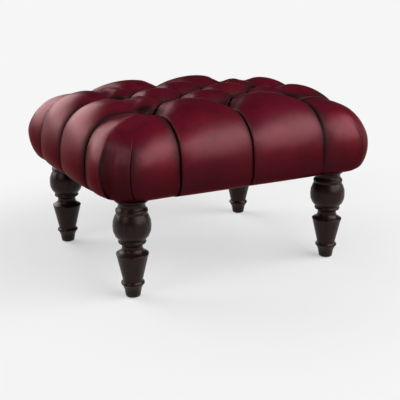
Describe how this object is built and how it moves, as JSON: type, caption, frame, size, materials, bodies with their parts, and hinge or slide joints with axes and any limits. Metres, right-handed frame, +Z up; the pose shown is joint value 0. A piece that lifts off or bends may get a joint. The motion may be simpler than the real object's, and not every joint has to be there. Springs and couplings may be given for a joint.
{
  "type": "footstool",
  "caption": "Rectangular footstool with a deep-buttoned leather cushion, pleated padded sides and short turned wooden legs.",
  "frame": {"origin": "on the floor under the middle of the stool", "axes": "+X along the long side, +Y from the front to the back, +Z up"},
  "size_m": [0.6462, 0.5354, 0.379],
  "materials": {
    "leather": "semi-gloss oxblood leather, rubbed darker in the folds",
    "button_leather": "semi-gloss oxblood leather drawn over button moulds",
    "turned_wood": "very dark brown satin lacquer on turned hardwood",
    "frame_wood": "bare planed beech",
    "plywood": "bare plywood",
    "foam": "open-cell upholstery foam",
    "wadding": "white fibre wadding",
    "dust_cloth": "black bonded underside cloth",
    "twine": "waxed button twine",
    "glide_nylon": "dark nylon",
    "steel": "zinc-plated steel",
    "staple_wire": "galvanised wire"
  },
  "bodies": {
    "root": {"button_twines": "twine", "corner_block_front_left": "frame_wood", "corner_block_front_right": "frame_wood", "corner_block_rear_left": "frame_wood", "corner_block_rear_right": "frame_wood", "deck_screws": "steel", "dust_cover": "dust_cloth", "foam_block": "foam", "foot_glides": "glide_nylon", "frame_dowels": "frame_wood", "hanger_bolts": "steel", "leather_buttons": "button_leather", "leather_cover": "leather", "leg_front_left": "turned_wood", "leg_front_right": "turned_wood", "leg_rear_left": "turned_wood", "leg_rear_right": "turned_wood", "rail_front": "frame_wood", "rail_left": "frame_wood", "rail_rear": "frame_wood", "rail_right": "frame_wood", "seat_deck": "plywood", "staples": "staple_wire", "tee_nuts": "steel", "twine_toggles": "frame_wood", "wadding": "wadding"}
  },
  "joints": []
}
